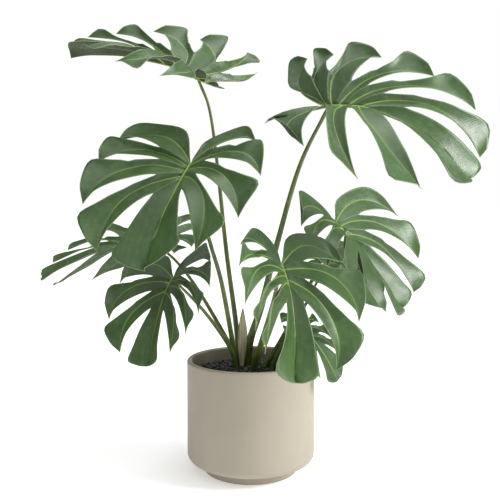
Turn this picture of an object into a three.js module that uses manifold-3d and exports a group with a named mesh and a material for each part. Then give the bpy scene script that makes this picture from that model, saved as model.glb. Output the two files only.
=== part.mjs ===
// Potted monstera: a glazed-clay pot with soil and a gravel top, nine leaves on their stalks,
// and a dry sheath at the foot of the stalks. Millimetres, +Z up, the front faces -Y.
import * as THREE from 'three';
import { mergeVertices } from 'three/addons/utils/BufferGeometryUtils.js';
import Module from 'manifold-3d';

const wasm = await Module();
wasm.setup();

// ---------------------------------------------------------------- driving dimensions
const POT = {
  radius: 110, height: 193, wall: 8, lip: 4,
  footRadius: 81, footHeight: 18, footEdge: 2,
  lowerRounding: 14, floor: 10, innerRounding: 12, segments: 48,
};
const CLEARANCE = 0.4; // air between pieces that rest against each other
const SOIL_TOP = 160;
const GRAVEL = { edge: 172, crown: 179 }; // height of the gravel at the wall and in the middle
const ROOTED = 45; // how far a stalk reaches down below the gravel's top
const STALK_SIDES = 8;
const STALK_STEPS = 14;
const BLADE = { thickness: 1.2, innerRows: 2, outerRows: 4, bow: 0.1, slitBelly: 0.022, marginBelly: 0.07 };
const JOINT_GAP = 0.6; // between a blade's underside and the end of its stalk

const COLOUR = {
  pot: 0xc9bda8, soil: 0x2b2119, gravel: 0x232426, leaf: 0x4a6b45, stalk: 0x55672c, sheath: 0xb3ab8c,
};

// ---------------------------------------------------------------- the leaves
// A leaf is drawn flat from its stalk joint: bearings are degrees round the joint from the midrib
// (0 is the leaf's tip, 180 the back of the heart), reaches are millimetres from the joint.
// Each side has a basal lobe whose back runs through two points [bearing, reach, bearing, reach],
// and lobes [bearing of the tip, reach of the tip, depth of the slit in front of it as a share of
// the way out, width of that slit at its mouth, belly of the next lobe's shoulder].
// The blade is then bent: arch along the midrib, fold and curl of each side, [left, right], where
// left is the side on the left hand of someone who stands on the joint and looks at the tip.
const LEAVES = [
  {
    name: 'top_left', base: [-86, 17, 670], heading: 181, pitch: 29, roll: -5,
    length: 230, arch: 38, fold: [20, 36], curl: [115, 5], fork: 0.34, spread: [1.6, 1.3],
    left: {
      basal: [165, 32, 150, 50],
      lobes: [[125, 60, 0.35, 9, 0.14], [100, 90, 0.35, 20, 0.14], [70, 138, 0.35, 34, 0.14],
        [44, 176, 0.33, 34, 0.12], [22, 208, 0.33, 28, 0.08]],
    },
    right: {
      basal: [140, 35, 128, 88],
      lobes: [[114, 145, 0.31, 18, 0.12], [99, 172, 0.4, 34, 0.14], [72, 135, 0.46, 22, 0.14],
        [43, 152, 0.36, 26, 0.12], [26, 185, 0.29, 20, 0.12], [18, 220, 0.27, 24, 0.06]],
    },
    stalk: {
      foot: [-20, 34],
      route: [[-27, 28, 255], [-43, 25, 379], [-58, 21, 527], [-71, 19, 621]],
      radius: [5.6, 2.2],
    },
  },
  {
    name: 'top_right', base: [120, -74, 613], heading: 333, pitch: 2, roll: 32,
    length: 265, arch: 73, fold: [13, 19], curl: [0, 47], fork: 0.25, spread: [2.3, 1.4],
    left: {
      basal: [135, 109, 119, 205],
      lobes: [[112, 183, 0.52, 14, 0.16], [98, 155, 0.58, 21, 0.24], [67, 144, 0.39, 29, 0.25],
        [44, 190, 0.29, 15, 0.16], [31, 251, 0.23, 23, 0.16], [14, 272, 0.26, 23, 0.04]],
    },
    right: {
      basal: [150, 90, 168, 96],
      lobes: [[84, 162, 0.22, 44, -0.05], [63, 228, 0.21, 39, 0], [41, 244, 0.22, 64, 0.01]],
    },
    stalk: {
      foot: [-6, 25],
      route: [[-1, 17, 221], [19, 5, 285], [46, -17, 398], [81, -41, 523]],
      radius: [8, 2.6],
    },
  },
  {
    name: 'front_left', base: [-92, -119, 520], heading: 242, pitch: -38, roll: -12,
    length: 192, arch: 39, fold: [27, 7], curl: [44, 13], fork: 0.19, spread: [1.8, 1.5],
    left: {
      basal: [180, 48, 150, 105],
      lobes: [[113, 107, 0.37, 12, 0.07], [78, 137, 0.27, 17, 0.08], [52, 163, 0.28, 17, -0.02],
        [28, 174, 0.28, 18, -0.13]],
    },
    right: {
      basal: [147, 89, 121, 150],
      lobes: [[99, 147, 0.41, 4, 0.14], [77, 149, 0.3, 7, 0.1], [49, 174, 0.25, 20, 0.09],
        [24, 196, 0.29, 29, -0.03]],
    },
    stalk: {
      foot: [-25, 16],
      route: [[-47, -34, 319], [-64, -60, 388], [-82, -86, 457]],
      radius: [5.4, 2.3],
    },
  },
  {
    name: 'low_left', base: [-127, -55, 339], heading: 249, pitch: -35, roll: -5,
    length: 158, arch: 50, fold: [37, -1], curl: [13, 28], fork: 0.27, spread: [1.9, 1.7],
    left: {
      basal: [184, 51, 150, 78],
      lobes: [[86, 92, 0.37, 10, 0.1], [66, 126, 0.29, 11, 0.11], [52, 135, 0.34, 3, 0.02],
        [39, 138, 0.27, 5, 0], [24, 145, 0.33, 25, 0]],
    },
    right: {
      basal: [147, 69, 119, 118],
      lobes: [[84, 102, 0.32, 12, 0.15], [45, 128, 0.23, 14, 0.13], [20, 153, 0.24, 22, 0.05]],
    },
    stalk: { foot: [-26, 3], route: [[-37, -6, 215], [-81, -30, 282]], radius: [5, 2] },
  },
  {
    name: 'back_left', base: [-190, 145, 392], heading: 185, pitch: -8, roll: -10,
    length: 224, arch: 24, fold: [-3, 12], curl: [10, 20], fork: 0.3, spread: [1.2, 1.2],
    left: {
      basal: [172, 58, 162, 90],
      lobes: [[138, 100, 0.4, 20, 0.15], [112, 108, 0.32, 30, 0.12], [84, 116, 0.28, 34, 0.1],
        [52, 178, 0.24, 58, 0.08], [25, 208, 0.24, 60, 0.04]],
    },
    right: {
      basal: [172, 66, 162, 105],
      lobes: [[140, 117, 0.4, 18, 0.15], [112, 148, 0.33, 30, 0.12], [78, 169, 0.3, 54, 0.1],
        [48, 188, 0.26, 46, 0.08], [28, 200, 0.24, 30, 0.08], [15, 212, 0.24, 32, 0.04]],
    },
    stalk: { foot: [-27, 49], route: [[-42, 64, 210], [-98, 105, 298], [-143, 130, 352]], radius: [5, 2.2] },
  },
  {
    name: 'front_right', base: [45, -163, 370], heading: 288, pitch: -37, roll: -8,
    length: 184, arch: 54, fold: [8, 33], curl: [21, 14], fork: 0.24, spread: [1.9, 1.5],
    left: {
      basal: [153, 67, 132, 130],
      lobes: [[89, 110, 0.29, 12, 0.16], [47, 142, 0.21, 16, 0.11], [21, 178, 0.22, 32, -0.05]],
    },
    right: {
      basal: [158, 42, 116, 66],
      lobes: [[80, 100, 0.42, 9, 0.13], [65, 126, 0.44, 8, 0.2], [49, 148, 0.3, 8, 0.05],
        [38, 155, 0.31, 5, 0.1], [27, 163, 0.37, 20, 0.1]],
    },
    stalk: { foot: [4, -12], route: [[17, -47, 226], [34, -102, 300]], radius: [7.2, 2.2] },
  },
  {
    name: 'right', base: [152, 72, 427], heading: 8, pitch: -42, roll: -17,
    length: 203, arch: 24, fold: [67, -32], curl: [-3, 46], fork: 0.22, spread: [1.9, 1.1],
    left: {
      basal: [112, 48, 82, 132],
      lobes: [[60, 179, 0.33, 11, 0.14], [40, 203, 0.25, 30, 0.13], [18, 203, 0.23, 18, -0.12]],
    },
    right: {
      basal: [178, 58, 163, 97],
      lobes: [[121, 140, 0.5, 8, 0.14], [104, 158, 0.43, 12, 0.15], [83, 158, 0.34, 19, 0.15],
        [58, 180, 0.39, 19, 0.15], [29, 204, 0.5, 18, 0.12]],
    },
    stalk: { foot: [22, 8], route: [[51, 22, 214], [105, 52, 312], [128, 62, 362]], radius: [6.4, 2.2] },
  },
  {
    name: 'back_right', base: [145, 150, 350], heading: 346, pitch: -14, roll: 16,
    length: 130, arch: 46, fold: [18, 14], curl: [40, 40], fork: 0.3, spread: [1.6, 1.6],
    left: {
      basal: [165, 42, 152, 78],
      lobes: [[128, 88, 0.35, 9, 0.14], [98, 100, 0.35, 10, 0.14], [68, 110, 0.35, 10, 0.12],
        [36, 120, 0.35, 11, 0.1]],
    },
    right: {
      basal: [165, 38, 152, 62],
      lobes: [[128, 72, 0.35, 9, 0.14], [98, 98, 0.35, 10, 0.14], [68, 110, 0.35, 10, 0.12],
        [36, 120, 0.35, 11, 0.1]],
    },
    stalk: { foot: [31, 28], route: [[67, 66, 214], [116, 122, 292]], radius: [4.8, 2] },
  },
  {
    name: 'low_right', base: [86, -4, 252], heading: 332, pitch: -42, roll: 30,
    length: 116, arch: 34, fold: [-24, 26], curl: [20, 20], fork: 0.28, spread: [1.7, 1.6],
    left: {
      basal: [160, 26, 140, 40],
      lobes: [[108, 50, 0.35, 8, 0.14], [80, 66, 0.33, 10, 0.12], [54, 88, 0.33, 10, 0.1],
        [28, 104, 0.33, 12, 0.06]],
    },
    right: {
      basal: [160, 28, 140, 42],
      lobes: [[110, 46, 0.35, 8, 0.14], [82, 56, 0.33, 9, 0.12], [54, 74, 0.33, 10, 0.1],
        [28, 100, 0.33, 12, 0.06]],
    },
    stalk: { foot: [36, -7], route: [[50, -8, 210], [70, -6, 238]], radius: [4.4, 1.9] },
  },
];

// the dry sheath standing among the stalks: a shallow gutter with a pointed top
const SHEATH = {
  base: [-15.5, 7, 166], heading: 292, pitch: 87, roll: 0, length: 113, arch: 0, fold: [8, 8], curl: [0, 0],
  halfWidths: [3, 5, 8, 9.5, 8.5, 5.2, 1], columns: 4, thickness: 1.1, margin: 0.6,
};

// ---------------------------------------------------------------- small helpers
const radians = THREE.MathUtils.degToRad;

function polar(side, bearing, reach) {
  return new THREE.Vector2(reach * Math.cos(radians(bearing)), side * reach * Math.sin(radians(bearing)));
}

function quadratic(start, control, end, t) {
  const a = (1 - t) * (1 - t);
  const b = 2 * t * (1 - t);
  const c = t * t;
  return new THREE.Vector2(a * start.x + b * control.x + c * end.x, a * start.y + b * control.y + c * end.y);
}

// a smooth line through the points, read at shares of its length along the chords
function smoothLine(points, shares) {
  const lengths = [0];
  for (let i = 1; i < points.length; i += 1) {
    lengths.push(lengths[i - 1] + points[i].distanceTo(points[i - 1]));
  }
  const last = points.length - 1;
  const before = points[0].clone().multiplyScalar(2).sub(points[1]);
  const after = points[last].clone().multiplyScalar(2).sub(points[last - 1]);
  const p = [before, ...points, after];
  return shares.map((share) => {
    const distance = share * lengths[last];
    let i = 0;
    while (i < last - 1 && lengths[i + 1] <= distance) i += 1;
    const t = (distance - lengths[i]) / (lengths[i + 1] - lengths[i]);
    const blend = (a, b, c, d) => 0.5 * (2 * b + (c - a) * t + (2 * a - 5 * b + 4 * c - d) * t * t
      + (3 * b - a - 3 * c + d) * t * t * t);
    return new THREE.Vector2(
      blend(p[i].x, p[i + 1].x, p[i + 2].x, p[i + 3].x),
      blend(p[i].y, p[i + 1].y, p[i + 2].y, p[i + 3].y),
    );
  });
}

function shares(count) {
  return Array.from({ length: count + 1 }, (_, i) => i / count);
}

function geometryFrom(points, triangles) {
  const geometry = new THREE.BufferGeometry();
  const flat = points.flatMap((point) => [point.x, point.y, point.z]);
  geometry.setAttribute('position', new THREE.Float32BufferAttribute(flat, 3));
  geometry.setIndex(triangles.flat());
  geometry.computeVertexNormals();
  return geometry;
}

function toSolid(geometry) {
  const bare = geometry.clone();
  bare.deleteAttribute('normal');
  bare.deleteAttribute('uv');
  const merged = mergeVertices(bare, 1e-4);
  return new wasm.Manifold(new wasm.Mesh({
    numProp: 3,
    vertProperties: new Float32Array(merged.attributes.position.array),
    triVerts: new Uint32Array(merged.index.array),
  }));
}

function toGeometry(solid) {
  const mesh = solid.getMesh();
  const geometry = new THREE.BufferGeometry();
  geometry.setAttribute('position', new THREE.Float32BufferAttribute(mesh.vertProperties, 3));
  geometry.setIndex(Array.from(mesh.triVerts));
  geometry.computeVertexNormals();
  return geometry;
}

// ---------------------------------------------------------------- pot, soil and gravel
// a quarter round from one angle to another, in degrees, in the profile's plane
function arc(x, z, radius, from, to, steps) {
  return shares(steps).map((share) => {
    const angle = radians(from + (to - from) * share);
    return new THREE.Vector2(x + radius * Math.cos(angle), z + radius * Math.sin(angle));
  });
}

function turned(profile) {
  const points = profile.map((point) => new THREE.Vector2(point.x, point.y));
  const geometry = new THREE.LatheGeometry(points, POT.segments);
  geometry.rotateX(Math.PI / 2);
  return geometry;
}

const innerRadius = POT.radius - POT.wall;
const floorTop = POT.footHeight + POT.floor;

function potGeometry() {
  const lipCentre = POT.radius - POT.wall / 2;
  return turned([
    new THREE.Vector2(0, 0),
    ...arc(POT.footRadius - POT.footEdge, POT.footEdge, POT.footEdge, -90, 0, 2),
    new THREE.Vector2(POT.footRadius, POT.footHeight),
    ...arc(POT.radius - POT.lowerRounding, POT.footHeight + POT.lowerRounding, POT.lowerRounding, -90, 0, 5),
    ...arc(lipCentre, POT.height - POT.lip, POT.lip, 0, 180, 6),
    ...arc(innerRadius - POT.innerRounding, floorTop + POT.innerRounding, POT.innerRounding, 0, -90, 3),
    new THREE.Vector2(0, floorTop),
  ]);
}

function soilGeometry() {
  const radius = innerRadius - CLEARANCE;
  const bottom = floorTop + CLEARANCE;
  return turned([
    new THREE.Vector2(0, bottom),
    ...arc(radius - POT.innerRounding, bottom + POT.innerRounding, POT.innerRounding, -90, 0, 3),
    new THREE.Vector2(radius, SOIL_TOP),
    new THREE.Vector2(0, SOIL_TOP),
  ]);
}

function gravelGeometry() {
  const radius = innerRadius - CLEARANCE;
  const bottom = SOIL_TOP + CLEARANCE;
  const mound = shares(5).map((share) => new THREE.Vector2(
    radius * (1 - share),
    GRAVEL.edge + (GRAVEL.crown - GRAVEL.edge) * (1 - (1 - share) ** 2),
  ));
  return turned([new THREE.Vector2(0, bottom), new THREE.Vector2(radius, bottom), ...mound]);
}

// ---------------------------------------------------------------- stalks
// a round tapered stalk with closed ends along a smooth line through the points
function stalkGeometry(points, radii, extra = 0) {
  const curve = new THREE.CatmullRomCurve3(points, false, 'centripetal');
  const frames = curve.computeFrenetFrames(STALK_STEPS, false);
  const rings = [];
  const triangles = [];
  for (let i = 0; i <= STALK_STEPS; i += 1) {
    const centre = curve.getPointAt(i / STALK_STEPS);
    const radius = radii[0] + (radii[1] - radii[0]) * (i / STALK_STEPS) + extra;
    for (let j = 0; j < STALK_SIDES; j += 1) {
      const angle = (2 * Math.PI * j) / STALK_SIDES;
      rings.push(centre.clone()
        .addScaledVector(frames.normals[i], radius * Math.cos(angle))
        .addScaledVector(frames.binormals[i], radius * Math.sin(angle)));
      const next = (j + 1) % STALK_SIDES;
      if (i < STALK_STEPS) {
        const a = i * STALK_SIDES + j;
        const b = i * STALK_SIDES + next;
        triangles.push([a, b, b + STALK_SIDES], [a, b + STALK_SIDES, a + STALK_SIDES]);
      }
    }
  }
  const endRing = STALK_STEPS * STALK_SIDES;
  for (let j = 1; j < STALK_SIDES - 1; j += 1) {
    triangles.push([0, j + 1, j], [endRing, endRing + j, endRing + j + 1]);
  }
  return geometryFrom(rings, triangles);
}

// ---------------------------------------------------------------- leaf blades
function leafAxes(leaf) {
  const turn = radians(leaf.heading);
  const tilt = radians(leaf.pitch);
  const roll = radians(leaf.roll);
  const along = new THREE.Vector3(
    Math.cos(tilt) * Math.cos(turn),
    Math.cos(tilt) * Math.sin(turn),
    Math.sin(tilt),
  );
  const level = new THREE.Vector3(-Math.sin(turn), Math.cos(turn), 0);
  const upright = new THREE.Vector3().crossVectors(along, level);
  const across = level.clone().multiplyScalar(Math.cos(roll)).addScaledVector(upright, Math.sin(roll));
  const up = new THREE.Vector3().crossVectors(along, across);
  return { along, across, up };
}

// from the flat leaf to its bent and placed shape
function bend(leaf, axes, flat) {
  const tiny = 1e-7;
  const archRate = Math.abs(leaf.arch) > 0 ? radians(leaf.arch) / leaf.length : tiny;
  const angle = archRate * flat.x;
  const side = flat.y >= 0 ? 0 : 1;
  const fold = radians(leaf.fold[side]);
  const curlRate = leaf.curl[side] !== 0 ? radians(leaf.curl[side]) / leaf.length : tiny;
  const slope = fold - curlRate * Math.abs(flat.y);
  const out = (Math.sin(fold) - Math.sin(slope)) / curlRate;
  const rise = (Math.cos(slope) - Math.cos(fold)) / curlRate;
  return new THREE.Vector3(...leaf.base)
    .addScaledVector(axes.along, Math.sin(angle) / archRate + rise * Math.sin(angle))
    .addScaledVector(axes.across, Math.sign(flat.y) * out)
    .addScaledVector(axes.up, -(1 - Math.cos(angle)) / archRate + rise * Math.cos(angle));
}

// the slits of one side, from the back of the leaf to its front
function slitsOf(leaf, side, half, spread) {
  const tips = half.lobes.map(([bearing, reach]) => polar(side, bearing, reach));
  tips.push(new THREE.Vector2(leaf.length, 0));
  const count = half.lobes.length;
  return {
    tips,
    slits: half.lobes.map(([, , depth, mouth, belly], k) => {
      const chord = tips[k + 1].clone().sub(tips[k]);
      const direction = chord.clone().normalize();
      const outward = new THREE.Vector2(direction.y, -direction.x);
      if (outward.dot(tips[k].clone().add(tips[k + 1])) < 0) outward.negate();
      const root = new THREE.Vector2(leaf.length * leaf.fork * ((k + 1) / count) ** spread, 0);
      const mouthPoint = tips[k].clone().addScaledVector(direction, mouth / 2);
      const axis = mouthPoint.clone().sub(root);
      const back = new THREE.Vector2(axis.y, -axis.x);
      if (back.x > 0) back.negate();
      const control = root.clone().addScaledVector(axis, 0.5).addScaledVector(back, BLADE.bow);
      const shoulder = tips[k].clone().addScaledVector(direction, mouth)
        .addScaledVector(outward, belly * chord.length());
      return { root, control, mouthPoint, direction, outward, mouth, depth, shoulder };
    }),
  };
}

function slitEdge(leaf, slit, share, sign) {
  const t = THREE.MathUtils.clamp((share - slit.depth) / (1 - slit.depth), 0, 1);
  const width = (slit.mouth / 2) * t + BLADE.slitBelly * leaf.length * (4 * t * (1 - t)) ** 0.6;
  return quadratic(slit.root, slit.control, slit.mouthPoint, share)
    .addScaledVector(slit.direction, sign * width);
}

// the back edge of a lobe beyond the slit: along the slit, round the shoulder and out to the tip
function shoulderEdge(leaf, slit, tip, rows) {
  const start = quadratic(slit.root, slit.control, slit.mouthPoint, slit.depth);
  const along = [0.12, 0.4, 0.75].map((t) => slitEdge(leaf, slit, slit.depth + (1 - slit.depth) * t, 1));
  const chord = tip.clone().sub(slit.shoulder);
  const margin = slit.shoulder.clone().addScaledVector(chord, 0.5)
    .addScaledVector(slit.outward, BLADE.marginBelly * chord.length());
  return smoothLine([start, ...along, slit.shoulder, margin, tip], shares(rows).slice(1));
}

function bladeGeometry(leaf) {
  const flat = [];
  const faces = [];
  const add = (point) => flat.push(point) - 1;
  const { innerRows, outerRows } = BLADE;
  const rows = innerRows + outerRows;
  const sides = [
    { sign: 1, half: leaf.left, ...slitsOf(leaf, 1, leaf.left, leaf.spread[0]) },
    { sign: -1, half: leaf.right, ...slitsOf(leaf, -1, leaf.right, leaf.spread[1]) },
  ];
  // the midrib up to the fork, with a vertex at the root of every slit on either side
  const roots = [0, ...sides.flatMap(({ slits }) => slits.map(({ root }) => root.x))];
  const stations = [...new Set(roots.map((x) => Math.round(x * 100) / 100))].sort((a, b) => a - b);
  const midrib = stations.map((x) => add(new THREE.Vector2(x, 0)));
  const stationOf = (x) => stations.indexOf(Math.round(x * 100) / 100);
  const forkVertex = midrib[midrib.length - 1];
  const face = (sign, a, b, c) => faces.push(sign > 0 ? [a, b, c] : [a, c, b]);

  for (const side of sides) {
    const { sign, half, tips, slits } = side;
    side.seams = slits.map((slit) => shares(innerRows).slice(1)
      .map((t) => add(quadratic(slit.root, slit.control, slit.mouthPoint, slit.depth * t))));
    const tipVertices = tips.slice(0, -1).map((tip) => add(tip));
    slits.forEach((slit, k) => {
      let backEdge;
      if (k === 0) {
        const [sinusBearing, sinusReach, shoulderBearing, shoulderReach] = half.basal;
        const through = [new THREE.Vector2(), polar(sign, sinusBearing, sinusReach),
          polar(sign, shoulderBearing, shoulderReach), tips[0]];
        const inner = shares(innerRows).slice(1).map((t) => t * 0.25);
        const outer = shares(outerRows).slice(1, -1).map((t) => 0.25 + 0.75 * t);
        backEdge = smoothLine(through, [...inner, ...outer]).map(add);
      } else {
        const outer = shoulderEdge(leaf, slits[k - 1], tips[k], outerRows).slice(0, -1);
        backEdge = [...side.seams[k - 1], ...outer.map(add)];
      }
      const frontOuter = shares(outerRows).slice(1, -1)
        .map((t) => add(slitEdge(leaf, slit, slit.depth + (1 - slit.depth) * t, -1)));
      const frontEdge = [...side.seams[k], ...frontOuter];
      const veins = backEdge.map((back, j) => add(flat[back].clone().add(flat[frontEdge[j]]).multiplyScalar(0.5)));
      // the strip between the midrib and the first row
      const first = k === 0 ? 0 : stationOf(slits[k - 1].root.x);
      const lower = midrib.slice(first, stationOf(slit.root.x) + 1);
      const upper = [backEdge[0], veins[0], frontEdge[0]];
      let i = 0;
      let j = 0;
      while (i < lower.length - 1 || j < 2) {
        const lowerShare = (i + 1) / (lower.length - 1);
        const upperShare = (j + 1) / 2;
        if (j >= 2 || (i < lower.length - 1 && lowerShare <= upperShare)) {
          face(sign, lower[i], lower[i + 1], upper[j]);
          i += 1;
        } else {
          face(sign, lower[i], upper[j + 1], upper[j]);
          j += 1;
        }
      }
      for (let r = 0; r < rows - 2; r += 1) {
        for (const [p, q] of [[backEdge, veins], [veins, frontEdge]]) {
          face(sign, p[r], q[r], q[r + 1]);
          face(sign, p[r], q[r + 1], p[r + 1]);
        }
      }
      const end = rows - 2;
      face(sign, backEdge[end], veins[end], tipVertices[k]);
      face(sign, veins[end], frontEdge[end], tipVertices[k]);
    });
  }

  // the lobe at the leaf's tip, on both sides of the midrib
  const tipVertex = add(new THREE.Vector2(leaf.length, 0));
  const forkX = flat[forkVertex].x;
  const centre = shares(rows).slice(1, -1)
    .map((t) => add(new THREE.Vector2(forkX + (leaf.length - forkX) * t, 0)));
  for (const { sign, tips, slits, seams } of sides) {
    const last = slits.length - 1;
    const outer = shoulderEdge(leaf, slits[last], tips[last + 1], outerRows).slice(0, -1);
    const edge = [...seams[last], ...outer.map(add)];
    face(sign, forkVertex, centre[0], edge[0]);
    for (let r = 0; r < rows - 2; r += 1) {
      face(sign, centre[r], centre[r + 1], edge[r + 1]);
      face(sign, centre[r], edge[r + 1], edge[r]);
    }
    face(sign, centre[rows - 2], tipVertex, edge[rows - 2]);
  }
  return thickened(leaf, flat, faces, BLADE.thickness);
}

// gives the bent sheet its thickness and closes it round its edge
function thickened(leaf, flat, faces, thickness) {
  const axes = leafAxes(leaf);
  const middle = flat.map((point) => bend(leaf, axes, point));
  const sheet = geometryFrom(middle, faces);
  const normals = sheet.attributes.normal;
  const shifted = (distance) => middle.map((point, i) => point.clone()
    .addScaledVector(new THREE.Vector3().fromBufferAttribute(normals, i), distance));
  const points = [...shifted(thickness / 2), ...shifted(-thickness / 2)];
  const count = middle.length;
  const triangles = [...faces, ...faces.map(([a, b, c]) => [a + count, c + count, b + count])];
  const used = new Set(faces.flatMap(([a, b, c]) => [`${a},${b}`, `${b},${c}`, `${c},${a}`]));
  for (const edge of used) {
    const [a, b] = edge.split(',').map(Number);
    if (!used.has(`${b},${a}`)) triangles.push([b, a, a + count], [b, a + count, b + count]);
  }
  return geometryFrom(points, triangles);
}

// the sheath as a bent sheet, made larger all round when it is the hole it stands in
function sheathGeometry(margin = 0) {
  const { halfWidths, length, columns, thickness } = SHEATH;
  const flat = [];
  const faces = [];
  const last = halfWidths.length - 1;
  halfWidths.forEach((halfWidth, row) => {
    for (let column = 0; column <= columns; column += 1) {
      const across = (column / columns) * 2 - 1;
      const along = (length * row) / last - (row === 0 ? margin : 0);
      flat.push(new THREE.Vector2(along, across * (halfWidth + margin)));
      if (row < last && column < columns) {
        const corner = row * (columns + 1) + column;
        const above = corner + columns + 1;
        faces.push([corner, above, above + 1], [corner, above + 1, corner + 1]);
      }
    }
  });
  return thickened(SHEATH, flat, faces, thickness + 2 * margin);
}

// ---------------------------------------------------------------- assembly
const plant = new THREE.Group();

function addPiece(name, geometry, colour, roughness) {
  const material = new THREE.MeshStandardMaterial({ color: colour, roughness, metalness: 0 });
  const mesh = new THREE.Mesh(geometry, material);
  mesh.name = name;
  plant.add(mesh);
}

function stalkPoints(leaf) {
  const { along, across, up } = leafAxes(leaf);
  const [x, y] = leaf.stalk.foot;
  // the stalk ends midway between the undersides of the two halves
  const middle = radians((leaf.fold[0] - leaf.fold[1] - 180) / 2);
  const opening = radians(Math.min(90, (leaf.fold[0] + leaf.fold[1] + 180) / 2));
  const reach = (leaf.stalk.radius[1] + BLADE.thickness / 2 + JOINT_GAP) / Math.sin(opening);
  const top = new THREE.Vector3(...leaf.base)
    .addScaledVector(across, reach * Math.cos(middle))
    .addScaledVector(up, reach * Math.sin(middle))
    .addScaledVector(along, 2);
  return [
    new THREE.Vector3(x, y, GRAVEL.crown - ROOTED),
    new THREE.Vector3(x, y, GRAVEL.crown - 4),
    ...leaf.stalk.route.map((point) => new THREE.Vector3(...point)),
    top,
  ];
}

let soil = toSolid(soilGeometry());
let gravel = toSolid(gravelGeometry());
for (const leaf of LEAVES) {
  const points = stalkPoints(leaf);
  const hole = toSolid(stalkGeometry(points, leaf.stalk.radius, CLEARANCE));
  soil = soil.subtract(hole);
  gravel = gravel.subtract(hole);
  addPiece(`stalk_${leaf.name}`, stalkGeometry(points, leaf.stalk.radius), COLOUR.stalk, 0.5);
  addPiece(`leaf_${leaf.name}`, bladeGeometry(leaf), COLOUR.leaf, 0.4);
}
gravel = gravel.subtract(toSolid(sheathGeometry(SHEATH.margin)));
addPiece('sheath', sheathGeometry(), COLOUR.sheath, 0.7);
addPiece('pot', potGeometry(), COLOUR.pot, 0.5);
addPiece('potting_soil', toGeometry(soil), COLOUR.soil, 0.95);
addPiece('gravel_topping', toGeometry(gravel), COLOUR.gravel, 0.6);

export default plant;
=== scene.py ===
import math
import random

import bmesh
import bpy
import numpy as np
from mathutils import Euler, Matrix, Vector, noise


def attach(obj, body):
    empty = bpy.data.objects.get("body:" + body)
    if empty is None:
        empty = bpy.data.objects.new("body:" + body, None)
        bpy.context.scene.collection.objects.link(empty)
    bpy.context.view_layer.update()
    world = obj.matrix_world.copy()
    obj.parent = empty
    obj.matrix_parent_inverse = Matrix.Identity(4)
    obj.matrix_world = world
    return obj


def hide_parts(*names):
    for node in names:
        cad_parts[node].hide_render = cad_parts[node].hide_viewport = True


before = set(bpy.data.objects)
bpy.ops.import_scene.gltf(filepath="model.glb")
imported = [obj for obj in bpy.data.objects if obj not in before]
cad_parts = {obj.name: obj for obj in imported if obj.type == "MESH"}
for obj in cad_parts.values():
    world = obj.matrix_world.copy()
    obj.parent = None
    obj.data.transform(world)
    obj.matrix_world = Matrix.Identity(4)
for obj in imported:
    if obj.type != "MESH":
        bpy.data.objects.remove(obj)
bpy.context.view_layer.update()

MM = 0.001

# ------------------------------------------------------------------ dimensions, in millimetres
POT = {
    "radius": 110, "height": 193, "wall": 8, "rounding": 14, "floor_top": 28, "inner_rounding": 12,
    "foot_radius": 81, "foot_height": 18, "foot_edge": 2, "foot_step": 1.2, "sides": 160,
}
GRAVEL = {"edge": 172, "crown": 179, "radius": 101}
BLADE = {
    "thickness": 0.8, "inner_rows": 5, "outer_rows": 18,
    "bow": 0.1, "slit_belly": 0.022, "margin_belly": 0.07,
}
PLEAT = {"growth": 28, "power": 1.3, "full_half_width": 14}  # a lobe narrower than this is flatter
WAVE = {"span": 60, "height": 3.5}  # the slow waves of a blade
WIDE = 1000  # stands for a half width that flattens nothing
STALK = {"steps": 90, "sides": 16, "root": 165.0, "below_crown": 4.0, "swelling": 0.18}
# the veins' radii at the joint, on a leaf of usual length, and at their thin ends, on any leaf
VEIN = {
    "midrib": 2.7, "side": 1.4, "midrib_end": 0.2, "side_end": 0.08, "usual_length": 200,
    "midrib_share": 0.96, "midrib_steps": 40, "sides": 6,
}
STONES = {
    "count": 1150, "lower": 800, "tries": 60000, "shapes": 7, "smallest": 2.3, "largest": 4.3,
    "stalk_room": 6, "lower_gap": 0.82, "upper_gap": 0.9, "sink": 4.2, "layer_rise": 2.6, "uneven": 0.7,
}
ACROSS = (0, 0.12, 0.35, 0.65, 0.88, 1)  # where the columns of a lobe stand between its vein and its edge

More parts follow.
